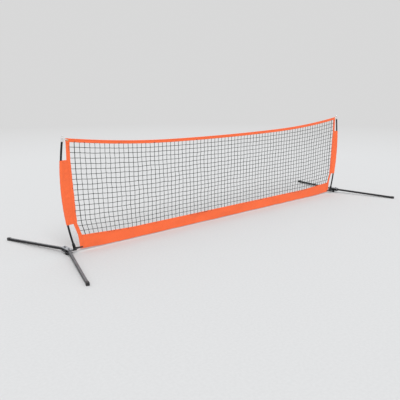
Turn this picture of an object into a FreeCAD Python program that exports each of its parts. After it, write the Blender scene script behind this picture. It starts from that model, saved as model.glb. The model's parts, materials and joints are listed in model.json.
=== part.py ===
import FreeCAD, Part
import math
import os

# A low portable net on two folding feet.  Millimetres, +Z up, +X along the net, +Y behind it.
# The origin is on the ground, under the middle of the net.
# Everything is built for the +X (right) end, and mirrored for the -X (left) end.

V = FreeCAD.Vector
UP = V(0, 0, 1)
BACK = V(0, 1, 0)

# --- the net ---------------------------------------------------------------------------------
net_height = 920.0          # ground to the net's top corners
top_half = 1752.0           # middle to a top corner
corner_taper = 74.0         # how far a bottom corner lies inside the top one
top_sag = 87.0              # dip of the top edge in the middle
sag_flat = 700.0            # half of the top edge's flatter middle
sag_rise = 7.0              # and how much it rises over that half
ground_gap = 12.0           # bottom edge to the ground along the middle
corner_lift = 12.0          # how much higher the bottom corners hang
lift_run = 280.0            # length of the bottom edge that rises to a corner
band_top = 138.0            # ground to the bottom band's upper corners
band_dip = 26.5             # how much lower its upper edge runs along the middle
band_run = 540.0            # length of that edge that rises to a corner
band_end_out = 13.0         # upper corners outside the lower ones
twine = 2.0                 # thickness of the netting
top_tape_height = 28.0
tape_cloth = 0.95           # cloth on each side of the headline's channel
band_thick = 3.0
side_tape_width = 32.0
side_tape_thick = 3.0
headline_d = 4.5
headline_set = 0.7          # extra depth of the headline under the top edge
headline_play = 0.3
headline_end = 24.0         # headline stops this far short of a top corner

# --- the pole sleeves, which pull the side tapes out towards the poles ---------------------------
sleeve_drop = 168.0             # top corners to the sleeve's upper end
sleeve_bottom = 239.0
pull_at_sleeve_top = 2.0        # side tape's outer edge at the sleeve's ends, outside the corner
pull_at_sleeve_bottom = -25.0
sleeve_cloth = 1.6
sleeve_ease = 3.6               # pocket's radius over the pole's
panel_thick = 2.4

# --- the bowed poles ---------------------------------------------------------------------------
pole_r = 8.0
pole_foot_in = 26.0             # pole's foot inside the net's top corner
pole_lean = 15.0                # degrees that the foot socket leans outwards
pole_straight = 56.0            # straight spigot at the foot, then the bow begins
pole_end_out = 27.0             # upper end of the rod outside the net's top corner
pole_end_rise = -6.0            # and above it
pole_fit = 0.05                 # radial play in sockets, ferrules and caps
ferrule_half = 45.0
ferrule_wall = 1.6

# --- the cap on each pole, and the cord from it to the net's corner ---------------------------------
cap_cup = 20.0                  # depth of rod inside the cap
cap_wall = 2.0
cap_floor = 3.0
cap_bore = 0.3                  # bore beyond the cup's mouth, for a clean cut
cap_neck = 14.0
cap_neck_r = 4.5
cap_head = 8.0
cap_head_r = 8.5
loop_r = 2.6                    # radius of the cord
loop_play = 0.3
eyelet_inset = 14.0             # eyelet's centre from the net's end
eyelet_hole = 5.0
eyelet_barrel = 0.8
eyelet_flange = 8.8
eyelet_flange_thick = 0.8

# --- the folding feet ---------------------------------------------------------------------------
hub_out = 71.0                  # line of the two leg pivots outside the pole's foot
hub_raise = 22.0                # ground to the underside of the lower plate
leg_clear = 3.1                 # between a leg's turning tail and the block
lower_t = 5.0                   # lower plate, whose tongue carries the pole's socket
upper_t = 4.0
plate_inner = 24.0              # plate edges, measured from the line of pivots
plate_outer = 20.0
plate_rim = 4.8                 # plate beyond a stop pin
plate_corner = 8.0
tongue_rim = 2.0                # tongue round the pole's socket
block_half = 12.0               # the block between the plates
block_inner = 20.0
block_outer = 16.0
leg_w = 20.0
leg_wall = 1.6
leg_corner = 2.0
leg_gap = 0.1                   # least play above and below a leg, between the plates
leg_tail = 16.0                 # leg behind its pivot
leg_reach = 688.0               # pivot to the end of the tube
leg_angle = 73.0                # working direction, from straight outwards
socket_wall = 4.0
socket_length = 50.0            # along the pole, above its foot
foot_gap = 0.3
bolt_r = 4.0
bolt_fit = 0.1
bolt_head = 5.3
bolt_over = 2.0                 # thread that shows above the nut
nut_height = 8.0
hex_flats = 13.0
nut_flange_r = 9.0
nut_flange = 1.6
bush_r = 6.5
bush_fit = 0.05
stop_r = 3.0
stop_along = 17.0               # stop pin's place along the leg, from its pivot
stop_play = 0.3
tip_wall = 2.0
tip_cover = 28.0                # leg tube inside its end cap
tip_round = 2.0
edge_break = 0.7                # rounding of cut steel edges
pad_r = 14.0
pad_round = 1.5

# --- the strap from each bottom corner to the pole's socket -----------------------------------------
strap_z = 29.5
strap_height = 12.0
strap_t = 2.0
strap_sewn = 24.0               # length sewn to the bottom band
strap_play = 0.3
strap_neck = 7.0                # where the strap's two sides part, beyond the net's corner

# --- sizes that follow --------------------------------------------------------------------------
foot_half = top_half - corner_taper
corner_z = ground_gap + corner_lift
band_x = foot_half + band_end_out
band_flat = band_x - band_run

# the sag: a flat arc in the middle, and at each end a rounder one that goes on from it to the corner
top_middle = net_height - top_sag
sag_r = (sag_flat ** 2 + sag_rise ** 2) / (2 * sag_rise)
sag_centre = V(0, 0, top_middle + sag_r)
sag_joint = V(sag_flat, 0, top_middle + sag_rise)
sag_normal = (sag_centre - sag_joint).normalize()
to_corner = V(top_half, 0, net_height) - sag_joint
end_r = to_corner.dot(to_corner) / (2 * sag_normal.dot(to_corner))
end_centre = sag_joint + sag_normal * end_r

top_tape_thick = headline_d + 2 * (headline_play + tape_cloth)
headline_depth = top_tape_thick / 2 + headline_set

sleeve_top = net_height - sleeve_drop
sleeve_middle = (sleeve_top + sleeve_bottom) / 2
edge_at_sleeve_top = top_half + pull_at_sleeve_top
edge_at_sleeve_bottom = top_half + pull_at_sleeve_bottom
sleeve_bore = pole_r + sleeve_ease

socket_r = pole_r + socket_wall
pole_foot_x = top_half - pole_foot_in
hub_x = pole_foot_x + hub_out

leg_turn = math.radians(leg_angle)
tail_r = math.hypot(leg_tail, leg_w / 2)
pivot_half = block_half + leg_clear + tail_r
stop_aside = leg_w / 2 + stop_r + stop_play
stop_y = pivot_half + stop_along * math.sin(leg_turn) + stop_aside * math.cos(leg_turn)
plate_half = stop_y + stop_r + plate_rim
lower_top = hub_raise + lower_t
leg_under = (plate_half - pivot_half) / math.sin(leg_turn) + leg_w / 2 / math.tan(leg_turn)
leg_play = leg_gap + leg_under * lower_top / leg_reach
leg_z = lower_top + leg_play
hub_gap = leg_w + 2 * leg_play
upper_z = lower_top + hub_gap
hub_top = upper_z + upper_t
leg_fall = math.asin((leg_z - tip_wall) / leg_reach)

lean = math.radians(pole_lean)
foot_z = lower_top + pole_r * math.sin(lean) + foot_gap
foot = V(pole_foot_x, 0, foot_z)
foot_dir = V(math.sin(lean), 0, math.cos(lean))

# the bow: an arc that leaves the straight spigot along its own line and ends at the rod's end
bow_start = foot + foot_dir * pole_straight
bow_end = V(top_half + pole_end_out, 0, net_height + pole_end_rise)
chord = bow_end - bow_start
half_turn = lean - math.atan2(chord.x, chord.z)
bow_r = chord.Length / (2 * math.sin(half_turn))
bow_centre = bow_start - V(math.cos(lean), 0, -math.sin(lean)) * bow_r
end_lean = lean - 2 * half_turn
end_dir = V(math.sin(end_lean), 0, math.cos(end_lean))


def save(name, shape):
    """Write one piece to its STEP file."""
    shape.exportStep(f"parts/{name}.step")


def both_ends(name, shape):
    """Write a right-hand piece, and its mirror image for the left."""
    save("right_" + name, shape)
    save("left_" + name, shape.mirror(V(0, 0, 0), V(1, 0, 0)))


def flat(points, thick):
    """A slab across the net's plane, from (x, z) corners."""
    wire = Part.makePolygon([V(x, -thick / 2, z) for x, z in points + points[:1]])
    return Part.Face(wire).extrude(BACK * thick)


def rod(radius, start, direction, length):
    return Part.makeCylinder(radius, length, start, direction)


def arc_bar(radius, centre, through, degrees):
    """A round bar bent about a centre in the net's plane, from a point, turned about +Y."""
    tangent = BACK.cross(through - centre)
    disc = Part.Face(Part.Wire(Part.makeCircle(radius, through, tangent)))
    return disc.revolve(centre, BACK, degrees)


def slice_z(shape, low, high):
    """The part of a right-hand shape between two heights."""
    box = Part.makeBox(2 * top_half, 2 * plate_half, high - low, V(0, -plate_half, low))
    return shape.common(box)


def rounded_rims(shape, radius, *heights):
    """Round the outer rim of each flat face that lies at one of these heights."""
    rims = []
    for face in shape.Faces:
        box = face.BoundBox
        if box.ZLength < 0.001 and any(abs(box.ZMin - z) < 0.001 for z in heights):
            rims += face.OuterWire.Edges
    return shape.makeFillet(radius, rims)


# --- the net's outline ----------------------------------------------------------------------------

def sag_end(drop):
    """Where the flat middle arc ends, on a line that runs a distance below the top edge."""
    return sag_joint.x - sag_normal.x * drop


def top_edge(x, drop=0.0):
    """Height of the sagging top edge, or of a line that runs a distance below it."""
    if abs(x) <= sag_end(drop):
        return sag_centre.z - math.sqrt((sag_r + drop) ** 2 - x ** 2)
    return end_centre.z - math.sqrt((end_r + drop) ** 2 - (abs(x) - end_centre.x) ** 2)


def edge_x(z):
    """Outer edge of the net's end at a height: straight runs between the points that pull it."""
    pulls = [(corner_z, foot_half), (band_top, band_x), (sleeve_bottom, edge_at_sleeve_bottom),
             (sleeve_top, edge_at_sleeve_top), (net_height, top_half)]
    for (z0, x0), (z1, x1) in zip(pulls, pulls[1:]):
        if z <= z1:
            return x0 + (x1 - x0) * (z - z0) / (z1 - z0)
    return top_half


def band_upper(x):
    """Height of the bottom band's upper edge."""
    return band_top - band_dip * min(1, (band_x - abs(x)) / band_run)


def sag_arc(x0, x1, drop):
    """A stretch of the line a distance below the top edge, within one of its arcs."""
    return Part.Arc(*[V(x, 0, top_edge(x, drop)) for x in (x0, (x0 + x1) / 2, x1)]).toShape()


def top_arcs(drop, x):
    """The sagging line a distance below the top edge, from -x to x."""
    cuts = [-x, -sag_end(drop), sag_end(drop), x]
    return [sag_arc(x0, x1, drop) for x0, x1 in zip(cuts, cuts[1:])]


def arched(edges, thick):
    """A slab across the net's plane, from edges that close in order."""
    wire = Part.Wire(Part.__sortEdges__(edges))
    face = Part.Face(wire)
    face.translate(BACK * (-thick / 2))
    return face.extrude(BACK * thick)


def line(x0, z0, x1, z1):
    return Part.makeLine(V(x0, 0, z0), V(x1, 0, z1))


def eyelet_place():
    x = top_half - eyelet_inset
    return V(x, 0, top_edge(x) - top_tape_height / 2)


def headline(radius, end):
    """The headline cord, or its channel, which follows the sag."""
    turn = sag_end(headline_depth)
    start = V(turn, 0, top_edge(turn, headline_depth))
    tip = V(end, 0, top_edge(end, headline_depth))
    shape = arc_bar(radius, sag_centre, start, 2 * math.degrees((start - sag_centre).getAngle(-UP)))
    bent = math.degrees((tip - end_centre).getAngle(start - end_centre))
    side = arc_bar(radius, end_centre, tip, bent)
    return shape.fuse([side, side.mirror(V(0, 0, 0), V(1, 0, 0))]).removeSplitter()


def top_tape():
    low = top_edge(top_half, top_tape_height)
    edges = top_arcs(0, top_half) + top_arcs(top_tape_height, top_half)
    edges += [line(s * top_half, low, s * top_half, net_height) for s in (-1, 1)]
    tape = arched(edges, top_tape_thick)
    tape = tape.cut(headline(headline_d / 2 + headline_play, top_half - headline_end + 1))
    for side in (-1, 1):
        hole = eyelet_place()
        hole.x *= side
        tape = tape.cut(rod(eyelet_hole + eyelet_barrel, hole - BACK * 10, BACK, 20))
    return tape


def side_tape():
    """From the top tape's underside to the bottom band, following the net's outer edge."""
    high = top_edge(top_half, top_tape_height)
    outer = [(band_x, band_top), (edge_at_sleeve_bottom, sleeve_bottom),
             (edge_at_sleeve_top, sleeve_top), (top_half, high)]
    inner = [(x - side_tape_width, z) for x, z in outer]
    inner[0] = (inner[0][0], band_upper(inner[0][0]))
    inner[-1] = (top_half - side_tape_width, top_edge(top_half - side_tape_width, top_tape_height))
    edges = [line(*a, *b) for a, b in zip(outer, outer[1:])]
    edges += [line(*a, *b) for a, b in zip(inner, inner[1:])]
    edges.append(line(*outer[0], *inner[0]))
    edges.append(sag_arc(inner[-1][0], top_half, top_tape_height))
    return arched(edges, side_tape_thick)


def netting():
    """The mesh area, as one thin slab between the tapes and the band."""
    heights = [band_top, sleeve_bottom, sleeve_top]
    side = [(edge_x(z) - side_tape_width, z) for z in heights]
    side[0] = (side[0][0], band_upper(side[0][0]))
    side.insert(0, (band_flat, band_upper(band_flat)))
    corner = top_half - side_tape_width
    side.append((corner, top_edge(corner, top_tape_height)))
    edges = []
    for s in (-1, 1):
        edges += [line(s * a, za, s * b, zb) for (a, za), (b, zb) in zip(side, side[1:])]
    edges.append(line(-side[0][0], side[0][1], *side[0]))
    edges += top_arcs(top_tape_height, corner)
    return arched(edges, twine)


def bottom_band():
    half = [(band_flat, band_upper(band_flat)), (band_x, band_top), (foot_half, corner_z),
            (foot_half - lift_run, ground_gap)]
    return flat(half + [(-x, z) for x, z in reversed(half)], band_thick)


def eyelet():
    """A rolled metal eyelet through the top tape: a barrel with a flange on each face."""
    centre = eyelet_place()
    half = top_tape_thick / 2
    shape = rod(eyelet_hole + eyelet_barrel, centre - BACK * half, BACK, top_tape_thick)
    for start in (-half - eyelet_flange_thick, half):
        shape = shape.fuse(rod(eyelet_flange, centre + BACK * start, BACK, eyelet_flange_thick))
    shape = shape.cut(rod(eyelet_hole, centre - BACK * 10, BACK, 20))
    return shape.removeSplitter()


# --- poles ------------------------------------------------------------------------------------------

def bow_point(z):
    """Point of the pole's centre line at a height."""
    across = math.sqrt(bow_r ** 2 - (z - bow_centre.z) ** 2)
    return V(bow_centre.x + across, 0, z)


def bow_turn(z):
    """Degrees about the bow's centre from the start of the bow to a height."""
    return math.degrees(lean + math.asin((z - bow_centre.z) / bow_r))


def bow(radius, turn_from, turn_to):
    """The stretch of a bar on the pole's bow between two turns about its centre."""
    spin = FreeCAD.Rotation(BACK, -turn_from)
    through = bow_centre + spin.multVec(bow_start - bow_centre)
    return arc_bar(radius, bow_centre, through, turn_from - turn_to)


def pole_lower():
    straight = rod(pole_r, foot, foot_dir, pole_straight)
    return straight.fuse(bow(pole_r, 0, bow_turn(sleeve_middle))).removeSplitter()


def pole_upper():
    return bow(pole_r, bow_turn(sleeve_middle), math.degrees(2 * half_turn))


def ferrule():
    low, high = bow_turn(sleeve_middle - ferrule_half), bow_turn(sleeve_middle + ferrule_half)
    inner = pole_r + pole_fit
    return bow(inner + ferrule_wall, low, high).cut(bow(inner, low - 0.1, high + 0.1))


def pole_sleeve():
    """A cloth pocket round the pole, with a panel that reaches to the net's side tape."""
    low, high = bow_turn(sleeve_bottom - 20), bow_turn(sleeve_top + 20)
    pocket = bow(sleeve_bore + sleeve_cloth, low, high)
    bore = bow(sleeve_bore, low - 0.2, high + 0.2)
    axis = [bow_point(z) for z in (sleeve_top, sleeve_middle, sleeve_bottom)]
    edges = [line(edge_at_sleeve_bottom, sleeve_bottom, edge_at_sleeve_top, sleeve_top),
             line(edge_at_sleeve_top, sleeve_top, axis[0].x, sleeve_top),
             Part.Arc(*axis).toShape(),
             line(axis[2].x, sleeve_bottom, edge_at_sleeve_bottom, sleeve_bottom)]
    panel = arched(edges, panel_thick)
    return panel.fuse(slice_z(pocket, sleeve_bottom, sleeve_top)).cut(bore).removeSplitter()


def pole_cap():
    """Turned metal end: a cup over the rod, a neck for the cord, and a round head."""
    start = bow_end - end_dir * cap_cup
    outer_r = pole_r + pole_fit + cap_wall
    cup = rod(outer_r, start, end_dir, cap_cup + cap_floor)
    neck_start = bow_end + end_dir * cap_floor
    neck = rod(cap_neck_r, neck_start, end_dir, cap_neck)
    head_start = neck_start + end_dir * cap_neck
    head = rod(cap_head_r, head_start, end_dir, cap_head)
    head = head.makeFillet(cap_head / 2 - 0.6, [e for e in head.Edges if len(e.Vertexes) == 1])
    cap = cup.fuse(neck).fuse(head).removeSplitter()
    turn = math.degrees(2 * half_turn)
    deep = math.degrees((cap_cup + cap_bore) / bow_r)
    return cap.cut(bow(pole_r + pole_fit, turn - deep, turn))


def corner_loop():
    """A closed cord round the cap's neck and through the net's top eyelet."""
    neck = bow_end + end_dir * (cap_floor + cap_neck / 2)
    eye = eyelet_place()
    along = eye - neck
    along.normalize()
    normal = BACK.cross(along)
    bend = cap_neck_r / abs(normal.dot(end_dir)) + loop_r + loop_play
    far = eye - along * bend
    reach = (far - neck).Length
    shape = None
    for side in (-1, 1):
        run = rod(loop_r, neck + BACK * (side * bend), along, reach)
        shape = run if shape is None else shape.fuse(run)
    for centre, way in ((neck, -1), (far, 1)):
        disc = Part.Face(Part.Wire(Part.makeCircle(loop_r, centre + BACK * bend, along)))
        shape = shape.fuse(disc.revolve(centre, normal, 180 * way))
    return shape.removeSplitter()


# --- the folding feet ---------------------------------------------------------------------------------

def leg_place(side):
    """Pivot and outward direction of the leg behind (+1) or in front of (-1) the net."""
    return V(hub_x, side * pivot_half, 0), V(math.cos(leg_turn), side * math.sin(leg_turn), 0)


def stop_place(side):
    """The pin that the leg's inner face rests against when it is spread."""
    pivot, out = leg_place(side)
    inward = V(-side * out.y, side * out.x, 0)
    return pivot + out * stop_along + inward * stop_aside


def hub_plate(z, thick):
    """A plate with rounded corners, between two legs' pivots."""
    plate = Part.makeBox(plate_inner + plate_outer, 2 * plate_half, thick,
                         V(hub_x - plate_inner, -plate_half, z))
    corners = [e for e in plate.Edges if abs(e.tangentAt(0).z) > 0.9]
    return plate.makeFillet(plate_corner, corners)


def drilled(plate):
    """The plate with its holes for the pivot bolts and stop pins."""
    for side in (-1, 1):
        plate = plate.cut(rod(bolt_r + bolt_fit, leg_place(side)[0], UP, 2 * hub_top))
        plate = plate.cut(rod(stop_r + pole_fit, stop_place(side), UP, 2 * hub_top))
    return plate


def upper_plate():
    return drilled(rounded_rims(hub_plate(upper_z, upper_t), edge_break, upper_z, hub_top))


def lower_plate():
    """The lower plate, with a tongue that reaches in under the pole's foot."""
    half = socket_r + tongue_rim
    start = pole_foot_x - half
    tongue = Part.makeBox(hub_x - start, 2 * half, lower_t, V(start, -half, hub_raise))
    ends = [e for e in tongue.Edges if abs(e.tangentAt(0).z) > 0.9 and e.CenterOfMass.x < start + 1]
    tongue = tongue.makeFillet(plate_corner, ends)
    plate = hub_plate(hub_raise, lower_t).fuse(tongue).removeSplitter()
    return drilled(rounded_rims(plate, edge_break, hub_raise, lower_top))


def hub_block():
    """The welded block that holds the plates apart, between the two legs."""
    return Part.makeBox(block_inner + block_outer, 2 * block_half, hub_gap,
                        V(hub_x - block_inner, -block_half, lower_top))


def pole_socket():
    """A leaning tube welded on the tongue, which the pole's foot stands in."""
    tube = rod(socket_r, foot - foot_dir * socket_r, foot_dir, socket_length + socket_r)
    tube = tube.makeFillet(edge_break, [e for e in tube.Edges if e.BoundBox.ZMin > lower_top])
    tube = tube.cut(rod(pole_r + pole_fit, foot - foot_dir * 2 * socket_r, foot_dir,
                        2 * socket_length))
    return slice_z(tube, lower_top, lower_top + 2 * socket_length)


def foot_pad():
    """The rubber pad under the middle of the lower plate."""
    return rounded_rims(rod(pad_r, V(hub_x, 0, 0), UP, hub_raise), pad_round, 0)


def hexagon(place, height):
    """A hexagonal bar of the bolts' size."""
    corners = []
    for k in range(7):
        turn = math.radians(60 * k + 10)
        reach = hex_flats / math.sqrt(3)
        corners.append(place + V(reach * math.cos(turn), reach * math.sin(turn), 0))
    return Part.Face(Part.makePolygon(corners)).extrude(UP * height)


def pivot_bolt(side):
    """A bolt up through both plates and the leg, with its head underneath."""
    low = leg_place(side)[0] + UP * (hub_raise - bolt_head)
    length = bolt_head + hub_top - hub_raise + nut_height + bolt_over
    shank = rounded_rims(rod(bolt_r, low, UP, length), edge_break, low.z + length)
    return hexagon(low, bolt_head).fuse(shank).removeSplitter()


def flange_nut(side):
    seat = leg_place(side)[0] + UP * hub_top
    nut = hexagon(seat, nut_height)
    nut = nut.common(Part.makeCone(hex_flats, hex_flats / 2 - 0.2, nut_height, seat, UP))
    flange = rounded_rims(rod(nut_flange_r, seat, UP, nut_flange), edge_break, seat.z + nut_flange)
    nut = nut.fuse(flange)
    return nut.cut(rod(bolt_r + pole_fit, seat, UP, nut_height)).removeSplitter()


def stop_pin(side):
    """A pin riveted through both plates."""
    return rod(stop_r, stop_place(side) + UP * hub_raise, UP, hub_top - hub_raise)


def leg_bar(half, start, length, low, high, corner, side):
    """A bar along a leg with rounded long edges; its heights are from the tube's underside."""
    bar = Part.makeBox(length, 2 * half, high - low, V(start, -half, low))
    if corner:
        bar = bar.makeFillet(corner, [e for e in bar.Edges if abs(e.tangentAt(0).x) > 0.9])
    bar.rotate(V(0, 0, 0), BACK, math.degrees(leg_fall))
    bar.rotate(V(0, 0, 0), UP, side * leg_angle)
    bar.translate(leg_place(side)[0] + UP * leg_z)
    return bar


def leg_tube(side):
    half = leg_w / 2
    length = leg_tail + leg_reach
    tube = leg_bar(half, -leg_tail, length, 0, leg_w, leg_corner, side)
    bore = leg_bar(half - leg_wall, -leg_tail - 1, length + 2, leg_wall, leg_w - leg_wall, 0, side)
    return tube.cut(bore).cut(rod(bush_r + bush_fit, leg_place(side)[0], UP, 2 * hub_top))


def leg_bush(side):
    """The sleeve welded in the leg, which turns on the pivot bolt."""
    start = leg_place(side)[0] + UP * (lower_top + bush_fit)
    height = hub_gap - 2 * bush_fit
    return rod(bush_r, start, UP, height).cut(rod(bolt_r + bush_fit, start, UP, height))


def leg_tip(side):
    """A cap over the leg's end, with a level sole that stands on the ground."""
    start = leg_reach - tip_cover
    cap = leg_bar(leg_w / 2 + tip_wall, start, tip_cover + tip_wall, -2 * tip_wall,
                  leg_w + tip_wall, tip_round, side)
    gap = pole_fit
    hollow = leg_bar(leg_w / 2 + gap, start - 1, tip_cover + 1 + gap, -gap, leg_w + gap,
                     leg_corner, side)
    reach = 2 * (hub_x + leg_reach)
    ground = Part.makeBox(reach, reach, 10 * tip_wall, V(0, -reach / 2, -10 * tip_wall))
    return cap.cut(hollow).cut(ground)


# --- the straps at the bottom corners ------------------------------------------------------------------

def teardrop(radius, centre_x, split_x, half):
    """Plan of a strap that leaves the band at half its gap and goes round the socket."""
    reach = math.hypot(centre_x - split_x, half)
    swing = math.asin((radius) / reach) + math.atan2(-half, centre_x - split_x)
    touch = V(centre_x - radius * math.sin(swing), radius * math.cos(swing), strap_z)
    start = V(foot_half - strap_sewn, half, strap_z)
    split = V(split_x, half, strap_z)
    far = V(centre_x + radius, 0, strap_z)

    def low(p):
        return V(p.x, -p.y, p.z)

    edges = [Part.makeLine(start, split), Part.makeLine(split, touch),
             Part.Arc(touch, far, low(touch)).toShape(),
             Part.makeLine(low(touch), low(split)), Part.makeLine(low(split), low(start)),
             Part.makeLine(low(start), start)]
    return Part.Face(Part.Wire(edges))


def bottom_strap():
    """Webbing sewn on both faces of the band's corner, which loops round the pole's socket."""
    centre_x = foot.x + (strap_z - foot.z) * math.tan(lean)
    inner = socket_r / math.cos(lean) + strap_play
    split_x = foot_half + strap_neck
    rise = V(strap_height * math.tan(lean), 0, strap_height)
    outside = teardrop(inner + strap_t, centre_x, split_x, band_thick / 2 + strap_t)
    inside = teardrop(inner, centre_x, split_x, band_thick / 2)
    return outside.cut(inside).extrude(rise)


# --- write every piece -----------------------------------------------------------------------------------

os.makedirs("parts", exist_ok=True)

save("netting", netting())
save("top_tape", top_tape())
save("headline_cord", headline(headline_d / 2, top_half - headline_end))
save("bottom_band", bottom_band())
for piece in (side_tape, pole_sleeve, eyelet, pole_lower, pole_upper, ferrule, pole_cap,
              corner_loop, bottom_strap, lower_plate, upper_plate, hub_block, pole_socket,
              foot_pad):
    both_ends(piece.__name__, piece())
for side, word in ((1, "rear"), (-1, "front")):
    for piece in (pivot_bolt, flange_nut, stop_pin, leg_tube, leg_bush, leg_tip):
        both_ends(f"{word}_{piece.__name__}", piece(side))
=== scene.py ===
import json
import math

import bpy
import numpy as np
from mathutils import Matrix, Vector

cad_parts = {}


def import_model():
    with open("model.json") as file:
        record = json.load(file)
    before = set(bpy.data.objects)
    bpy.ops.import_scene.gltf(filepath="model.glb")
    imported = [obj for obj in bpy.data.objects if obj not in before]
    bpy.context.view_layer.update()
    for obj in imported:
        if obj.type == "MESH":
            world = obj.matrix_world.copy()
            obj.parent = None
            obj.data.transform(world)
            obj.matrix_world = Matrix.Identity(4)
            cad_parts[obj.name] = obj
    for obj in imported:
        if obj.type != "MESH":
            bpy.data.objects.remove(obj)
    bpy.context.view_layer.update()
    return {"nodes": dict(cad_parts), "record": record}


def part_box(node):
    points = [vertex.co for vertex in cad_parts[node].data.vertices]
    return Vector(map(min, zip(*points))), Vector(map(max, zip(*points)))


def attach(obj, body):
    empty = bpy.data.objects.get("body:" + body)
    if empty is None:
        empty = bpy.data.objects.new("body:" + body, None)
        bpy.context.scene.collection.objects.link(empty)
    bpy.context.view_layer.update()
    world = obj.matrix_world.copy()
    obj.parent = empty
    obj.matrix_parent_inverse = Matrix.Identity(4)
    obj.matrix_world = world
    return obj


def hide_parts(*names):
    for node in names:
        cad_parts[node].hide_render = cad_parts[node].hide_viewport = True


# A low portable net on two folding feet: the cloth, netting, cords and finishes round the CAD frame.
# Metres, +Z up, +X along the net, +Y behind it.  Everything is worked out for the right-hand end,
# and a left-hand piece is its mirror image.

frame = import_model()
NET_BODY = "net_and_poles"
ENDS = {"right": 1, "left": -1}
MIRROR = np.array([-1, 1, 1])

# --- thicknesses and spacings of the soft goods ---
CLOTH = 0.0009  # one layer of the orange cloth
HEM_ROLL = 0.0019  # a folded hem
EDGE_ROUND = 0.0006  # how far in a cloth edge is rounded
THIN_EDGE = 0.25  # share of its thickness at the very edge
TAPE_HEIGHT = 0.028
SIDE_WIDTH = 0.032
MESH_SIZE = 0.0445
TWINE_R = 0.0022
KNOT_R = 0.0040
ROWS = 18
CORD_R = 0.0026
WEBBING = 0.0018
STITCH_LONG = 0.0046
STITCH_GAP = 0.0026
STITCH_R = 0.00042
STITCH_REACH = 0.001  # how far to each side a stitch takes its direction from
POLE_LEAN = math.radians(15)  # of the foot's socket, outwards
SAG_FLAT = 0.700  # half of the top edge's flatter middle
SAG_RISE = 0.007  # its rise over that half
SEAM_IN = 0.003  # a seam's distance from the edge of the cloth


# --- helpers: numbers ---

WAVES = 7  # summed in a ripple


def ripple(a, b, seed):
    """Smooth noise over two lengths given in wavelengths, mostly from -1 to 1."""
    draw = np.random.default_rng(seed)
    total = 0.0
    for _ in range(WAVES):
        turn, start = draw.uniform(0, 2 * math.pi, 2)
        pitch = draw.uniform(0.6, 1.6)
        total = total + np.sin(2 * math.pi * pitch * (a * np.cos(turn) + b * np.sin(turn)) + start)
    return total * math.sqrt(2 / WAVES) * 0.6


def rippled(sizes, a, b=0):
    """Ripples added up, each given as its height, its two wavelengths and its seed."""
    return sum(height * ripple(a / long, b / wide, seed) for height, long, wide, seed in sizes)


def smooth(value, low, high):
    """0 at low, 1 at high, and a smooth step between."""
    t = np.clip((value - low) / (high - low), 0, 1)
    return t * t * (3 - 2 * t)


def stations(length, step, edge=EDGE_ROUND):
    """Places along a cloth, about a step apart, and close together at its two edges."""
    inner = np.linspace(edge, length - edge, max(2, round(length / step)) + 1)
    near = np.array([0.0, 0.15, 0.5]) * edge
    return np.concatenate([near, inner, length - near[::-1]])


def from_edge(places):
    """Distance of each place along a cloth from the nearer end."""
    return np.minimum(places, places[-1] - places)


def edge_round(places, edge=EDGE_ROUND):
    """Share of the cloth's thickness that is left at places near its edges."""
    inside = np.clip(from_edge(places) / edge, 0, 1)
    return THIN_EDGE + (1 - THIN_EDGE) * np.sqrt(1 - (1 - inside) ** 2)


def edged(half, down, over, edge=EDGE_ROUND):
    """Half thicknesses of a cloth grid, rounded off at its four edges."""
    return half * edge_round(down, edge)[:, None] * edge_round(over)[None, :]


def nearest(places, *wanted):
    """Index of the place nearest to each wanted one."""
    return [int(np.argmin(np.abs(places - want))) for want in wanted]


def running(points, axis=0):
    """Distance along a line of points from its start, or along each line of a grid of them."""
    steps = np.diff(points, axis=axis, prepend=points.take([0], axis))
    return np.linalg.norm(steps, axis=-1).cumsum(axis)


def unit(vectors):
    return vectors / np.linalg.norm(vectors, axis=-1, keepdims=True)


def rounded(points, count):
    """A smooth line of count points through a few given ones (evenly spaced Catmull-Rom)."""
    points = np.asarray(points, float)
    ends = 2 * points[[0, -1]] - points[[1, -2]]
    p = np.concatenate([ends[:1], points, ends[1:]])
    spans = len(points) - 1
    at = np.linspace(0, spans, count)
    k = np.minimum(at.astype(int), spans - 1)
    t = (at - k)[:, None]
    a, b, c, d = p[k], p[k + 1], p[k + 2], p[k + 3]
    return 0.5 * (2 * b + (c - a) * t + (2 * a - 5 * b + 4 * c - d) * t ** 2
                  + (3 * b - a - 3 * c + d) * t ** 3)


# --- helpers: meshes ---

def grid_faces(rows, columns, around=False, closed=False):
    """Four-sided faces of a grid of points, whose rows or columns may close on themselves."""
    grid = np.pad(np.arange(rows * columns).reshape(rows, columns), ((0, closed), (0, around)), "wrap")
    return np.stack([grid[:-1, :-1], grid[:-1, 1:], grid[1:, 1:], grid[1:, :-1]], -1).reshape(-1, 4)


def normals_of(middle):
    """Unit normals of a grid of points."""
    return unit(np.cross(np.gradient(middle, axis=0), np.gradient(middle, axis=1)))


def slab(middle, half):
    """A closed thin solid about a grid of points, whose faces lie half a thickness off it."""
    rows, columns = middle.shape[:2]
    offset = normals_of(middle) * half[..., None]
    points = np.concatenate([(middle + offset).reshape(-1, 3), (middle - offset).reshape(-1, 3)])
    count = rows * columns
    index = np.arange(count).reshape(rows, columns)
    rim = np.concatenate([index[0, :], index[1:, -1], index[-1, -2::-1], index[-2:0:-1, 0]])
    ahead = np.roll(rim, -1)
    sides = np.stack([rim, ahead, ahead + count, rim + count], -1)
    faces = grid_faces(rows, columns)
    return points, np.concatenate([faces[:, ::-1], faces + count, sides])


def transported(path, closed):
    """Two directions across a line of points that turn with it as little as they can."""
    tangent = unit(np.roll(path, -1, 0) - np.roll(path, 1, 0) if closed else np.gradient(path, axis=0))
    sides = [np.cross(tangent[0], np.eye(3)[np.argmin(np.abs(tangent[0]))])]
    for t in tangent:
        sides.append(unit(sides[-1] - t * (sides[-1] @ t)))
    return np.array(sides[1:]), np.cross(tangent, sides[1:])


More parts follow.
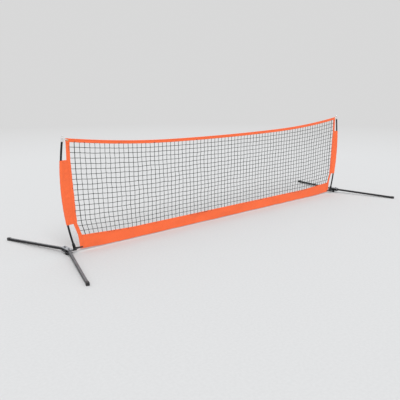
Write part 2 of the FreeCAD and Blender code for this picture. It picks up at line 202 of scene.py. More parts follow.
def tube(path, radius, sides=8, closed=False):
    """A round bar along a line of points; radius is one number, a line or a grid of them."""
    across, up = transported(path, closed)
    turn = np.arange(sides) * 2 * math.pi / sides
    ring = across[:, None] * np.cos(turn)[:, None] + up[:, None] * np.sin(turn)[:, None]
    if np.ndim(radius) < 2:
        radius = np.broadcast_to(radius, len(path))[:, None]
    points = (path[:, None] + ring * radius[..., None]).reshape(-1, 3)
    faces = grid_faces(len(path), sides, around=True, closed=closed).tolist()
    if not closed:
        faces += [list(range(sides))[::-1], list(range(len(points) - sides, len(points)))]
    return points, faces


def lathe(outline, centre, steps=40):
    """A closed ring turned about +Y from a closed outline of (radius, along) points."""
    radius, along = np.array(outline).T
    turn = (np.arange(steps) * 2 * math.pi / steps)[:, None]
    points = np.stack([-radius * np.sin(turn), along + 0 * turn, -radius * np.cos(turn)], -1)
    faces = grid_faces(steps, len(outline), around=True, closed=True)
    return points.reshape(-1, 3) + np.array(centre), faces


def joined(parts):
    """Several (points, faces) as one."""
    points, faces, start = [], [], 0
    for p, f in parts:
        points.append(p)
        faces += [[int(k) + start for k in face] for face in f]
        start += len(p)
    return np.concatenate(points), faces


def repeated(points, faces, places):
    """Copies of one small shape; places are 3 x 4 arrays, a turn and a position."""
    places = np.asarray(places)
    many = np.einsum("nij,kj->nki", places[:, :, :3], points) + places[:, None, :, 3]
    starts = np.arange(len(places)) * len(points)
    all_faces = [[k + int(s) for k in face] for s in starts for face in faces]
    return many.reshape(-1, 3), all_faces


def placed(name, data):
    """A new object in the scene."""
    thing = bpy.data.objects.new(name, data)
    bpy.context.scene.collection.objects.link(thing)
    return thing


def add(name, shape, slot, finish=None, body=NET_BODY, replaced=(), uv=None):
    """A new smooth-shaded piece on a body, with its slot's finish or another one."""
    points, faces = shape
    faces = [[int(k) for k in face] for face in faces]
    mesh = bpy.data.meshes.new(name)
    mesh.from_pydata(points.tolist(), [], faces)
    if uv is not None:
        uv_by_corner = uv[[k for face in faces for k in face]]
        mesh.uv_layers.new(name="Cloth").data.foreach_set("uv", uv_by_corner.ravel())
    mesh.shade_smooth()
    mesh.materials.append(materials[finish or slot])
    piece = placed(name, mesh)
    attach(piece, body)
    if replaced:
        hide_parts(*replaced)
    return piece


def mirrored(shape, way):
    """A right-hand shape as it is, or its mirror image for the left."""
    points, faces = shape
    return shape if way > 0 else (points * MIRROR, [list(f)[::-1] for f in faces])


def cloth_uv(middle):
    """Lengths along and across a grid of cloth, in metres, for both of its faces."""
    uv = np.stack([running(middle, 1), running(middle, 0)], -1).reshape(-1, 2)
    return np.concatenate([uv, uv])


def tube_uv(path, sides):
    """Share of the way round and length along a tube, for each of its points."""
    return np.stack([np.tile(np.arange(sides) / sides, len(path)), np.repeat(running(path), sides)], -1)


def cloth(name, middle, half, way=1, replaced=(), slot="orange_cloth"):
    """A sheet of cloth about a grid of points."""
    return add(name, mirrored(slab(middle, half), way), slot, replaced=replaced, uv=cloth_uv(middle))


# --- materials ---

class Nodes:
    """Short ways to add and join the nodes of a new material, or of a world."""

    def __init__(self, name, owner=None):
        self.owner = owner or bpy.data.materials.new(name)
        self.owner.use_nodes = True
        self.tree = self.owner.node_tree

    def new(self, kind, **settings):
        node = self.tree.nodes.new("ShaderNode" + kind)
        for key, value in settings.items():
            setattr(node, key, value)
        return node

    def add(self, kind, **inputs):
        node = self.new(kind)
        for key, value in inputs.items():
            self.put(node, key.replace("_", " "), value)
        return node

    def put(self, node, key, value):
        """Set a socket to a value, or link it from another node's socket."""
        if isinstance(value, bpy.types.NodeSocket):
            self.tree.links.new(value, node.inputs[key])
        else:
            node.inputs[key].default_value = value

    def math(self, operation, a, b=0.0, clamp=False):
        node = self.new("Math", operation=operation, use_clamp=clamp)
        for k, value in enumerate((a, b)):
            self.put(node, k, value)
        return node.outputs[0]

    def place(self):
        """The point on the object, in metres."""
        return self.add("TexCoord").outputs["Object"]

    def along_cloth(self):
        return self.new("UVMap", uv_map="Cloth").outputs["UV"]

    def stretched(self, vector, *scale):
        return self.add("Mapping", Vector=vector, Scale=scale).outputs[0]

    def split(self, vector):
        return self.add("SeparateXYZ", Vector=vector).outputs

    def wave(self, value, turn):
        """0 to 1 and back, as a sine's size is."""
        return self.math("ABSOLUTE", self.math("SINE", self.math("MULTIPLY", value, turn)))

    def noise(self, vector, scale, detail=3.0, roughness=0.5):
        return self.add("TexNoise", Vector=vector, Scale=scale, Detail=detail,
                        Roughness=roughness).outputs["Fac"]

    def ramp(self, fac, stops):
        """Colours or greys at places from 0 to 1."""
        node = self.add("ValToRGB", Fac=fac)
        elements = node.color_ramp.elements
        while len(elements) < len(stops):
            elements.new(0.5)
        for element, (place, colour) in zip(elements, stops):
            element.position = place
            element.color = colour if isinstance(colour, tuple) else (colour, colour, colour, 1)
        return node.outputs["Color"]

    def mix(self, fac, a, b, blend="MIX"):
        node = self.new("Mix", data_type="RGBA", blend_type=blend)
        shown = [k for k, s in enumerate(node.inputs) if s.enabled]
        for key, value in zip(shown, (fac, a, b)):
            self.put(node, key, value)
        return [s for s in node.outputs if s.enabled][0]

    def shades(self, fac, colour, *stops):
        """One colour, made darker or lighter at places from 0 to 1."""
        return self.ramp(fac, [(place, scaled(colour, by)) for place, by in stops])

    def bump(self, height, distance, strength=1.0, under=None):
        node = self.add("Bump", Height=height, Distance=distance, Strength=strength)
        if under is not None:
            self.put(node, "Normal", under)
        return node.outputs["Normal"]

    def finish(self, **sockets):
        """Set the shader's sockets."""
        for key, value in sockets.items():
            self.put(self.tree.nodes["Principled BSDF"], key.replace("_", " "), value)
        return self.owner

    def mix_shaders(self, fac, first, second, output):
        mixer = self.add("MixShader", Fac=fac)
        self.put(mixer, 1, first.outputs[0])
        self.put(mixer, 2, second.outputs[0])
        self.put(self.tree.nodes[output], "Surface", mixer.outputs[0])


def rgb(red, green, blue):
    return (red, green, blue, 1.0)


def scaled(colour, by):
    return rgb(*(min(1.0, c * by) for c in colour[:3]))


def weave_height(nodes, uv, thread):
    """Plain weave: threads that rise and dip over each other."""
    u, v, _ = nodes.split(uv)
    over, under = (nodes.wave(value, math.pi / thread) for value in (u, v))
    board = nodes.add("TexChecker", Vector=uv, Scale=1 / thread).outputs["Fac"]
    first = nodes.math("MULTIPLY", over, board)
    second = nodes.math("MULTIPLY", under, nodes.math("SUBTRACT", 1.0, board))
    return nodes.math("ADD", first, second)


CLOTH_THREAD = 0.0011
RIB, RIB_THREAD = 0.0011, 0.0008


def cloth_material(name, colour):
    """Woven polyester: slightly uneven dye, a fine weave, soft creases and a light sheen."""
    n = Nodes(name)
    uv = n.along_cloth()
    place = n.place()
    weave = weave_height(n, uv, CLOTH_THREAD)
    dye = n.noise(place, 3.5, 4.0)
    slub = n.noise(n.stretched(uv, 40.0, 900.0, 1.0), 1.0, 2.0)
    tone = n.shades(dye, colour, (0.3, 0.93), (0.55, 1.0), (0.8, 1.05))
    tone = n.mix(0.10, tone, n.ramp(slub, [(0.3, 0.55), (0.7, 1.0)]), "MULTIPLY")
    # painted shade: a little darker where the threads dip under each other
    tone = n.mix(0.16, tone, n.ramp(weave, [(0.0, 0.35), (0.6, 1.0)]), "MULTIPLY")
    crease = n.noise(place, 26.0, 3.0, 0.55)
    normal = n.bump(crease, 0.0035, 0.35)
    normal = n.bump(weave, 0.00018, 0.6, normal)
    rough = n.ramp(n.noise(place, 14.0), [(0.3, 0.56), (0.7, 0.68)])
    return n.finish(Base_Color=tone, Roughness=rough, Normal=normal, Sheen_Weight=0.12,
                    Sheen_Roughness=0.45, Specular_IOR_Level=0.35)


def twine_material(name, colour, pitch, strands, depth):
    """Twisted or braided cord, whose strands run slanting round it."""
    n = Nodes(name)
    u, v, _ = n.split(n.along_cloth())
    slant = n.math("ADD", n.math("MULTIPLY", u, strands), n.math("DIVIDE", v, pitch))
    height = n.wave(slant, 2 * math.pi)
    fuzz = n.noise(n.place(), 900.0, 2.0)
    # painted shade: darker in the grooves between the strands
    tone = n.mix(0.5, n.shades(height, colour, (0.0, 0.45), (0.6, 1.0)),
                 n.shades(fuzz, colour, (0.3, 0.7), (0.7, 1.25)))
    normal = n.bump(height, depth, 0.8, n.bump(fuzz, 0.0003, 0.3))
    return n.finish(Base_Color=tone, Roughness=0.72, Normal=normal, Sheen_Weight=0.1)


def webbing_material(name, colour):
    """Ribbed nylon webbing."""
    n = Nodes(name)
    u, v, _ = n.split(n.along_cloth())
    rib, thread = n.wave(v, math.pi / RIB), n.wave(u, math.pi / RIB_THREAD)
    height = n.math("MULTIPLY", rib, n.math("ADD", 0.6, n.math("MULTIPLY", thread, 0.4)))
    # painted shade: darker in the grooves between the ribs
    tone = n.shades(height, colour, (0.0, 0.5), (0.7, 1.0))
    tone = n.mix(0.4, tone, n.shades(n.noise(n.place(), 60.0), colour, (0.3, 0.8), (0.75, 1.7)))
    return n.finish(Base_Color=tone, Roughness=0.6, Normal=n.bump(height, 0.0003, 0.9),
                    Sheen_Weight=0.2)


def thread_material(name, colour):
    n = Nodes(name)
    fuzz = n.noise(n.place(), 1500.0, 2.0)
    tone = n.shades(fuzz, colour, (0.3, 0.75), (0.7, 1.0))
    return n.finish(Base_Color=tone, Roughness=0.55, Normal=n.bump(fuzz, 0.0002, 0.5))


def edge_wear(n, radius, low, high):
    """Strong where an edge is convex: the bevelled normal differs from the face's own."""
    soft = n.add("Bevel", Radius=radius).outputs[0]
    sharp = n.add("NewGeometry").outputs["Normal"]
    dot = n.new("VectorMath", operation="DOT_PRODUCT")
    n.put(dot, 0, soft)
    n.put(dot, 1, sharp)
    broken = n.noise(n.place(), 220.0, 5.0, 0.7)
    amount = n.math("SUBTRACT", 1.0, dot.outputs["Value"])
    amount = n.math("MULTIPLY", amount, n.math("MULTIPLY", broken, 2.0))
    return n.ramp(amount, [(low, 0.0), (high, 1.0)])


def painted_steel(name, colour, bare, top_sheen):
    """Powder coat: orange peel, painted sheen of the sky on the upper faces, metal on the worn edges.
    """
    n = Nodes(name)
    place = n.place()
    wear = edge_wear(n, 0.0012, 0.18, 0.46)
    patches = n.noise(place, 9.0, 5.0, 0.6)
    tone = n.shades(patches, colour, (0.35, 1.0), (0.75, 1.8))
    speck = n.ramp(n.noise(place, 700.0, 2.0), [(0.40, 0.75), (0.62, 1.0)])
    tone = n.mix(0.6, tone, speck, "MULTIPLY")
    # painted sheen: faces that look up turn a lighter bluish grey, in patches, as if lit by the sky
    upward = n.split(n.add("NewGeometry").outputs["Normal"])[2]
    dust = n.math("MULTIPLY", n.ramp(upward, [(0.5, 0.0), (0.95, 1.0)]),
                  n.ramp(patches, [(0.30, 0.60), (0.70, 0.95)]))
    tone = n.mix(dust, tone, top_sheen)
    tone = n.mix(wear, tone, bare)
    peel = n.noise(place, 420.0, 2.0)
    rough = n.ramp(n.noise(place, 30.0, 3.0), [(0.3, 0.36), (0.75, 0.50)])
    return n.finish(Base_Color=tone, Roughness=rough, Normal=n.bump(peel, 0.0003, 0.15),
                    Metallic=wear, Specular_IOR_Level=0.3)


def metal(name, colour, rough_low, rough_high, grain, stretch=(1.0, 1.0, 1.0)):
    """Bare or plated metal with a fine grain and slight tarnish."""
    n = Nodes(name)
    place = n.place()
    lines = n.noise(n.stretched(place, *stretch), grain, 3.0, 0.6)
    tarnish = n.noise(place, 40.0, 4.0, 0.6)
    tone = n.shades(tarnish, colour, (0.3, 0.78), (0.6, 1.0))
    tone = n.mix(0.25, tone, n.ramp(lines, [(0.3, 0.6), (0.7, 1.0)]), "MULTIPLY")
    rough = n.ramp(lines, [(0.3, rough_low), (0.7, rough_high)])
    return n.finish(Base_Color=tone, Roughness=rough, Normal=n.bump(lines, 0.0002, 0.3),
                    Metallic=1.0)


def moulded(name, colour, rough_low, rough_high, grain, depth, specular=0.5):
    """Plastic or rubber with a fine texture and a little dust."""
    n = Nodes(name)
    place = n.place()
    fine = n.noise(place, grain, 3.0, 0.6)
    dust = n.noise(place, 35.0, 4.0, 0.6)
    tone = n.shades(dust, colour, (0.4, 1.0), (0.8, 1.7))
    rough = n.ramp(fine, [(0.3, rough_low), (0.7, rough_high)])
    return n.finish(Base_Color=tone, Roughness=rough, Normal=n.bump(fine, depth, 0.35),
                    Specular_IOR_Level=specular)


def rod_material(name, colour):
    """Pultruded fibreglass rod: fibres along it under a satin black coat, scuffed in places."""
    n = Nodes(name)
    place = n.place()
    fibre = n.noise(n.stretched(place, 1.0, 1.0, 0.02), 900.0, 2.0)
    scuff = n.noise(n.stretched(place, 1.0, 1.0, 0.25), 120.0, 5.0, 0.7)
    tone = n.shades(fibre, colour, (0.3, 0.8), (0.7, 1.3))
    tone = n.mix(n.ramp(scuff, [(0.62, 0.0), (0.8, 0.35)]), tone, scaled(colour, 5.0))
    rough = n.ramp(scuff, [(0.3, 0.34), (0.8, 0.5)])
    return n.finish(Base_Color=tone, Roughness=rough, Normal=n.bump(fibre, 0.0002, 0.35),
                    Specular_IOR_Level=0.25)


ORANGE = rgb(0.98, 0.158, 0.043)
FINISHES = {
    "orange_cloth": (cloth_material, ORANGE),
    "orange_thread": (thread_material, scaled(ORANGE, 0.8)),
    "net_twine": (twine_material, rgb(0.012, 0.020, 0.015), 0.0045, 1.0, 0.0005),
    "white_cord": (twine_material, rgb(0.92, 0.92, 0.89), 0.0030, 4.0, 0.0005),
    "black_webbing": (webbing_material, rgb(0.018, 0.018, 0.020)),
    "black_thread": (thread_material, rgb(0.05, 0.05, 0.055)),
    "eyelet_metal": (metal, rgb(0.80, 0.62, 0.32), 0.22, 0.38, 300.0),
    "black_rod": (rod_material, rgb(0.008, 0.008, 0.009)),
    "ferrule_metal": (metal, rgb(0.80, 0.81, 0.82), 0.25, 0.42, 500.0),
    "cap_metal": (metal, rgb(0.93, 0.94, 0.94), 0.28, 0.46, 260.0, (0.1, 0.1, 6.0)),
    # black_steel: its paint, the bare metal of worn edges, and the painted sheen on its upper faces
    "black_steel": (painted_steel, rgb(0.008, 0.008, 0.009), rgb(0.34, 0.34, 0.35),
                    rgb(0.150, 0.153, 0.165)),
    "zinc_steel": (metal, rgb(0.37, 0.375, 0.40), 0.28, 0.46, 130.0),
    "bush_steel": (metal, rgb(0.52, 0.52, 0.53), 0.30, 0.50, 400.0),
    "black_rubber": (moulded, rgb(0.016, 0.016, 0.016), 0.66, 0.85, 380.0, 0.0005, 0.3),
    "black_plastic": (moulded, rgb(0.013, 0.013, 0.014), 0.42, 0.58, 520.0, 0.0003),
}
materials = {name: make(name, *settings) for name, (make, *settings) in FINISHES.items()}


def dress_frame():
    """Give each CAD node the finish of its slot in the record."""
    slots = {part["node"]: part["material_slot"] for part in frame["record"]["subparts"]}
    for name, node in frame["nodes"].items():
        node.data.materials.clear()
        node.data.materials.append(materials[slots[name]])


# --- the net's outline, from the frame ---

def corners(node):
    """Corners of a CAD piece as an array."""
    return np.array([v.co for v in frame["nodes"][node].data.vertices], float)


def outermost(node, height):
    """Largest x of a CAD piece's corners at a height."""
    points = corners(node)
    return points[np.abs(points[:, 2] - height) < 1e-4, 0].max()


tape_low, tape_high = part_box("top_tape")
band_low, band_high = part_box("bottom_band")
sleeve_low, sleeve_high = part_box("right_pole_sleeve")
eyelet_low, eyelet_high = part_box("right_eyelet")
eyelet_at = (eyelet_low + eyelet_high) / 2
POLE_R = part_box("right_pole_upper")[1].y
TOP_HALF = tape_high.x
NET_HEIGHT = tape_high.z
MIDDLE = tape_low.z + TAPE_HEIGHT
BAND_TOP = band_high.z
_, CORNER_Z, BAND_MIDDLE, _ = sorted(set(corners("bottom_band")[:, 2].round(4)))
FOOT_HALF = outermost("bottom_band", CORNER_Z)
LIFT_X = outermost("bottom_band", band_low.z)
BAND_X = outermost("bottom_band", BAND_TOP)
BAND_FLAT = outermost("bottom_band", BAND_MIDDLE)
EDGE_Z = [CORNER_Z, BAND_TOP, sleeve_low.z, sleeve_high.z, NET_HEIGHT]
EDGE_X = [FOOT_HALF, BAND_X, outermost("right_side_tape", sleeve_low.z),
          outermost("right_side_tape", sleeve_high.z), TOP_HALF]

# the sag: a flat arc in the middle, and a rounder one from it to each corner
FLAT_R = (SAG_FLAT ** 2 + SAG_RISE ** 2) / (2 * SAG_RISE)
arcs_meet = np.array([SAG_FLAT, MIDDLE + SAG_RISE])
to_centre = (np.array([0, MIDDLE + FLAT_R]) - arcs_meet) / FLAT_R
to_corner = np.array([TOP_HALF, NET_HEIGHT]) - arcs_meet
END_R = to_corner @ to_corner / (2 * to_centre @ to_corner)
END_X, END_Z = arcs_meet + to_centre * END_R


def edge_x(z):
    """Outer edge of the net's end at a height."""
    return np.interp(z, EDGE_Z, EDGE_X)


def top_z(x, drop=0.0):
    """Height of the sagging top edge, or of a line that runs a distance below it."""
    x = np.abs(x)
    flat = MIDDLE + FLAT_R - np.sqrt((FLAT_R + drop) ** 2 - x ** 2)
    end = END_Z - np.sqrt((END_R + drop) ** 2 - (x - END_X) ** 2)
    return np.where(x < SAG_FLAT, flat, end)


def bottom_z(x):
    """Height of the band's lower edge, which rises to the corners."""
    rise = np.clip((np.abs(x) - LIFT_X) / (FOOT_HALF - LIFT_X), 0, 1.2)
    return band_low.z + (CORNER_Z - band_low.z) * rise ** 1.4


def band_z(x):
    """Height of the band's upper edge, which rises to its ends."""
    rise = np.clip((np.abs(x) - BAND_FLAT) / (BAND_X - BAND_FLAT), 0, 1)
    return BAND_MIDDLE + (BAND_TOP - BAND_MIDDLE) * rise ** 1.25


def bow_circle():
    """Centre (x, z) and radius of the right pole's bowed centre line."""
    mesh = frame["nodes"]["right_pole_upper"].data
    outer = np.array([v.co for v in mesh.vertices if abs(v.co.y) < 1e-6 and v.normal.x > 0.8], float)
    x, z = outer[:, 0], outer[:, 2]
    fit = np.stack([2 * x, 2 * z, np.ones_like(x)], 1)
    cx, cz, rest = np.linalg.lstsq(fit, x * x + z * z, rcond=None)[0]
    return cx, cz, math.sqrt(rest + cx * cx + cz * cz) - POLE_R


BOW_X, BOW_Z, BOW_R = bow_circle()


def pole_x(z):
    """The pole's centre line at a height on its bow."""
    return BOW_X + np.sqrt(BOW_R ** 2 - (z - BOW_Z) ** 2)


# --- stitches ---

def stitch_shape():
    """One stitch along +X, resting on the cloth at z 0."""
    x = np.array([-1.0, -0.72, 0.0, 0.72, 1.0]) * STITCH_LONG / 2
    path = np.stack([x, 0 * x, np.array([-0.9, 0.2, 0.5, 0.2, -0.9]) * STITCH_R], -1)
    return tube(path, np.array([0.5, 1, 1.05, 1, 0.5]) * STITCH_R, 4)


def value_at(s, at, values):
    """A value along a line, at a distance from its start."""
    return np.array([np.interp(s, at, column) for column in values.T])


def stitches_on(lines):
    """Stitches along lines of (points, outward normals) on cloth."""
    places = []
    for points, normals in lines:
        at = running(points)
        count = max(1, round(at[-1] / (STITCH_LONG + STITCH_GAP)))
        for s in (np.arange(count) + 0.5) * at[-1] / count:
            here, out = value_at(s, at, points), value_at(s, at, normals)
            way = unit(value_at(s + STITCH_REACH, at, points) - value_at(s - STITCH_REACH, at, points))
            out = unit(out - way * (out @ way))
            places.append(np.stack([way, np.cross(out, way), out, here], -1))
    return repeated(*stitch_shape(), places)


def seams(name, lines, way=1, slot="orange_cloth", finish="orange_thread"):
    """Stitches on a piece of cloth, along right-hand lines or their mirror images."""
    flip = MIRROR if way < 0 else 1
    lines = [(points * flip, normals * flip) for points, normals in lines]
    return add(f"{name}_stitches", stitches_on(lines), slot, finish)


def grid_line(middle, half, row=None, column=None, face=1, trim=0):
    """A line of a cloth grid, lifted to one of its faces, with the outward normals."""
    out = normals_of(middle) * face
    surface = middle + out * half[..., None]
    line = np.s_[row] if column is None else np.s_[:, column]
    inner = slice(trim, len(surface[line]) - trim)
    return surface[line][inner], out[line][inner]


def facing(middle, half, out, trim=0, **line):
    """A line of a cloth grid on whichever of its faces looks along out."""
    points, normals = grid_line(middle, half, trim=trim, **line)
    if normals[len(normals) // 2] @ out > 0:
        return points, normals
    return grid_line(middle, half, face=-1, trim=trim, **line)


def fold_lines(middle, half, over, places, trim=0):
    """Lines at distances in from both edges of a cloth folded over, on its front and its back."""
    return [facing(middle, half, (0, out, 0), trim, column=column) for k in nearest(over, *places)
            for out, column in ((-1, k), (1, len(over) - 1 - k))]


# --- the netting ---

COLUMNS = round(2 * (TOP_HALF - SIDE_WIDTH) / MESH_SIZE)
TUCK = 0.005  # how far the twine runs into the tapes and the band
SELVEDGE_R = 0.0032  # the doubled twine one mesh in from each end
TWINE_SIDES = 6
TWINE_SLACK = 0.0011  # how far a row's twine sags in a mesh
DRAWN_IN = 0.38  # how far in from each end the net follows the pole's bow
BILLOW = 0.010
UNEVEN_X = [(0.0030, 0.35, 0.18, 11), (0.0016, 0.07, 0.09, 12)]
UNEVEN_Z = [(0.0022, 0.30, 0.25, 13), (0.0014, 0.09, 0.07, 14)]
PUCKER, PUCKER_IN, PUCKER_WIDE = 0.009, 0.055, 0.03  # along the side tapes
DOWN_AND_BACK = np.array([0.0, 0.35, -1.0])


def net_point(s, t):
    """A crossing of the netting: s from -1 to 1 across, t from 0 to 1 upwards."""
    wide = TOP_HALF - SIDE_WIDTH + TUCK
    x = s * wide
    near = np.sign(s) * np.exp(-(1 - np.abs(s)) * wide / DRAWN_IN)
    high = top_z(x, TAPE_HEIGHT - TUCK)
    low = band_z(x + (BAND_X - TOP_HALF) * near) - TUCK
    z = low + t * (high - low)
    return x + (edge_x(z) - TOP_HALF) * near, z  # the ends are drawn in near the ground


def netting_grid():
    """All crossings as an array of rows and columns, a little uneven as knotted twine is."""
    s, t = np.meshgrid(np.linspace(-1, 1, COLUMNS + 1), np.linspace(0, 1, ROWS + 1))
    x, z = net_point(s, t)
    free = (1 - s ** 14) * np.sin(math.pi * t) ** 0.4
    billow = BILLOW * np.sin(math.pi * t) * (1 - s ** 6)
    y = billow * (0.5 * np.sin(2.1 * s + 0.6) + 0.5 * ripple(x / 0.9, z / 0.6, 5))
    x = x + free * rippled(UNEVEN_X, x, z)
    z = z + free * rippled(UNEVEN_Z, x, z)
    pucker = PUCKER * np.exp(-(((1 - np.abs(s)) * TOP_HALF - PUCKER_IN) / PUCKER_WIDE) ** 2)
    x = x + np.sign(s) * pucker * free * ripple(t / 0.45, s, 15)
    return np.stack([x, y, z], -1)


def strand(crossings, dip):
    """A twine through its knots, with the slack of each mesh between them, if it has any."""
    if not dip.any():
        return crossings
    cuts = np.array([0, 0.33, 0.67])
    lift = np.array([0, 1, 1]) * dip
    a, b = crossings[:-1], crossings[1:]
    path = a[:, None] + (b - a)[:, None] * cuts[None, :, None] + lift[:, :, None] * DOWN_AND_BACK
    return np.concatenate([path.reshape(-1, 3), crossings[-1:]])


def knot_shape():
    """A mesh knot: a squashed lump with four lobes where the twines leave it."""
    rings, steps = 5, 8
    polar = np.linspace(0, math.pi, rings + 2)[1:-1]
    turn = np.arange(steps) * 2 * math.pi / steps
    reach = KNOT_R * (1 + 0.22 * np.cos(4 * turn + math.pi))
    ring = [np.stack([np.sin(p) * reach * np.cos(turn), 0.78 * KNOT_R * np.cos(p) + 0 * turn,
                      np.sin(p) * reach * np.sin(turn)], -1) for p in polar]
    points = np.concatenate([*ring, [[0, 0.8 * KNOT_R, 0], [0, -0.8 * KNOT_R, 0]]])
    faces = grid_faces(rings, steps, around=True).tolist()
    last = (rings - 1) * steps
    faces += [[rings * steps, (j + 1) % steps, j] for j in range(steps)]
    faces += [[rings * steps + 1, last + j, last + (j + 1) % steps] for j in range(steps)]
    return points, faces


def netting():
    grid = netting_grid()
    draw = np.random.default_rng(21)
    parts, uv = [], []
    lines = [(row, TWINE_SLACK, TWINE_R) for row in grid]
    lines += [(column, 0.0, SELVEDGE_R if k in (1, COLUMNS - 1) else TWINE_R)
              for k, column in enumerate(grid.swapaxes(0, 1))]
    for line, slack, radius in lines:
        dip = slack * draw.uniform(0.2, 1.6, (len(line) - 1, 1))
        path = strand(line, dip)
        parts.append(tube(path, radius, TWINE_SIDES))
        uv.append(tube_uv(path, TWINE_SIDES))
    places = []
    for centre in grid[1:-1, 1:-1].reshape(-1, 3):
        turn = Matrix.Rotation(draw.uniform(-0.5, 0.5), 3, "Y") @ Matrix.Rotation(math.pi / 4, 3, "Y")
        size = draw.uniform(0.9, 1.12)
        places.append(np.concatenate([np.array(turn) * size, centre[:, None]], 1))
    knots = repeated(*knot_shape(), places)
    piece = add("net_mesh", joined([*parts, knots]), "net_twine", replaced=["netting"],
                uv=np.concatenate([*uv, knots[0][:, [0, 2]]]))


# --- the top tape, folded over the headline ---

FLAT_END = 0.052  # length at each end where the tape is pressed flat
TAPE_SECTION = [(0.00195, 0.0280), (0.00195, 0.0225), (0.00165, 0.0165), (0.00095, 0.0112),
                (0.00190, 0.0086), (0.00275, 0.0064), (0.00300, 0.0042), (0.00255, 0.0021),
                (0.00140, 0.0009), (0.0, 0.00045)]  # half thickness, drop below the top edge
FLAT_SECTION = [(0.00195, 0.0280), (0.00195, 0.0225), (0.00195, 0.0165), (0.00190, 0.0112),
                (0.00190, 0.0086), (0.00190, 0.0064), (0.00185, 0.0042), (0.00160, 0.0021),
                (0.00090, 0.0009), (0.0, 0.00045)]
TAPE_POINTS = 16  # in half of a section
TAPE_SEAMS = (0.0052, 0.0172)
TAPE_SWAY = [(0.0011, 0.060, 1, 31), (0.0006, 0.021, 1, 32)]
TAPE_GATHER = [(0.00022, 0.011, 0.02, 33)]
TAPE_DROOP = [(0.0004, 0.034, 1, 34)]


def folded(section, count):
    """A fold's whole outline, front face, over the top and down the back."""
    half = rounded(section, count)
    return np.concatenate([half, half[::-1][1:] * np.array([-1, 1])])


def hemmed(over, hem):
    """Thickness of a folded cloth across its fold: half as much again in its turned-in edges."""
    return 1 + 0.5 * (1 - smooth(from_edge(over), hem - 0.001, hem + 0.001))


def tape_middle(x):
    """Middle surface of the folded top tape, for stations x along it."""
    full, flat = folded(TAPE_SECTION, TAPE_POINTS), folded(FLAT_SECTION, TAPE_POINTS)
    end = smooth(np.abs(x), TOP_HALF - FLAT_END, TOP_HALF - FLAT_END + 0.02)[:, None]
    calm = 1 - end
    y = full[:, 0] * calm + flat[:, 0] * end
    drop = full[:, 1] * calm + flat[:, 1] * end
    hang = smooth(drop, 0.010, 0.028)
    xx = np.broadcast_to(x[:, None], y.shape)
    side = np.sign(-y)
    gather = rippled(TAPE_GATHER, xx, drop) * smooth(drop, 0.002, 0.006)
    y = -y + calm * (hang * rippled(TAPE_SWAY, xx) + side * gather)
    drop = drop + calm * hang * rippled(TAPE_DROOP, xx)
    return np.stack([xx, y, top_z(xx, drop)], -1)


def build_top_tape():
    along = stations(2 * TOP_HALF, step=0.0062)
    middle = tape_middle(along - TOP_HALF)
    over = running(folded(TAPE_SECTION, TAPE_POINTS))
    half = edged(CLOTH / 2 * hemmed(over, hem=0.0065), along, over)
    piece = cloth("top_tape_cloth", middle, half, replaced=["top_tape", "headline_cord"])
    lines = fold_lines(middle, half, over, TAPE_SEAMS, trim=8)
    return piece, seams("top_tape", lines[::2] + lines[1::2])  # the front's, then the back's


# --- the bottom band ---

BAND_HEM = 0.014
END_HEM = 0.010
BAND_EDGE = 0.0022  # the band's lower and upper edges are rounder than the other cloth's
BAND_BELLY = [(0.0042, 0.50, 1 / 0.4, 41), (0.0018, 0.13, 1 / 0.6, 42)]
BAND_GATHER = [(0.0006, 0.035, 1 / 0.35, 43)]
BAND_FAN, FAN_REACH = 0.0014, 0.10  # creases out of each lower corner
BAND_DROOP = [(0.0010, 0.25, 1, 44)]


def build_band():
    length = 2 * FOOT_HALF
    u = stations(length, step=0.0080)
    height = BAND_MIDDLE - band_low.z
    v = stations(height, step=0.0052)
    along, up = np.meshgrid(u / length * 2 - 1, v / height)
    end = FOOT_HALF + (BAND_X - FOOT_HALF) * up
    x = along * end
    low = bottom_z(x)
    z = low + up * (band_z(x) - low)
    far = end - np.abs(x)  # distance from the band's end
    loose = smooth(far, 0.0, 0.10)
    belly = np.sin(math.pi * np.clip(up, 0, 1)) * 0.6 + 0.4 * (1 - up)
    y = loose * belly * rippled(BAND_BELLY, x, up)
    y = y + rippled(BAND_GATHER, x, up) * smooth(up, 0.55, 0.95) * (1 - smooth(up, 0.95, 1))
    corner = np.hypot(far, (z - low) * 0.9)
    fan = np.sin(np.arctan2(z - low + 0.004, far + 0.004) * 11 + 0.8)
    y = y + BAND_FAN * fan * np.exp(-corner / FAN_REACH) * smooth(corner, 0.02, 0.06)
    z = z + loose * (1 - up) * rippled(BAND_DROOP, x)
    top = 1 - smooth((1 - up) * height, BAND_HEM - 0.003, BAND_HEM)
    bottom = 1 - smooth(up * height, BAND_HEM - 0.003, BAND_HEM)
    sides = 1 - smooth(far, END_HEM - 0.002, END_HEM)
    half = CLOTH * 0.6 + 0.00135 * top + HEM_ROLL * 0.3 * np.maximum(bottom, sides)
    half = edged(half, v, u, BAND_EDGE)
    middle = np.stack([x, y, z], -1)
    piece = cloth("band_cloth", middle, half, replaced=["bottom_band"])
    rows = nearest(v, BAND_HEM - 0.004, height - BAND_HEM + 0.004, height - 0.0035)
    lines = [grid_line(middle, half, row=row, face=face, trim=6) for row in rows for face in (1, -1)]
    return piece, seams("band", lines)


# --- the side tapes, folded over the net's ends ---

SIDE_SECTION = [(0.00195, 0.0320), (0.00195, 0.0270), (0.00150, 0.0215), (0.00125, 0.0150),
                (0.00125, 0.0080), (0.00115, 0.0030), (0.00070, 0.0009), (0.0, 0.00045)]
SIDE_POINTS = 13
SIDE_SEAMS = (0.0045, 0.0085)
SIDE_SWAY = [(0.0009, 0.085, 1, 51), (0.0004, 0.026, 1, 52)]
SIDE_EDGE = [(0.0007, 0.060, 1, 53)]


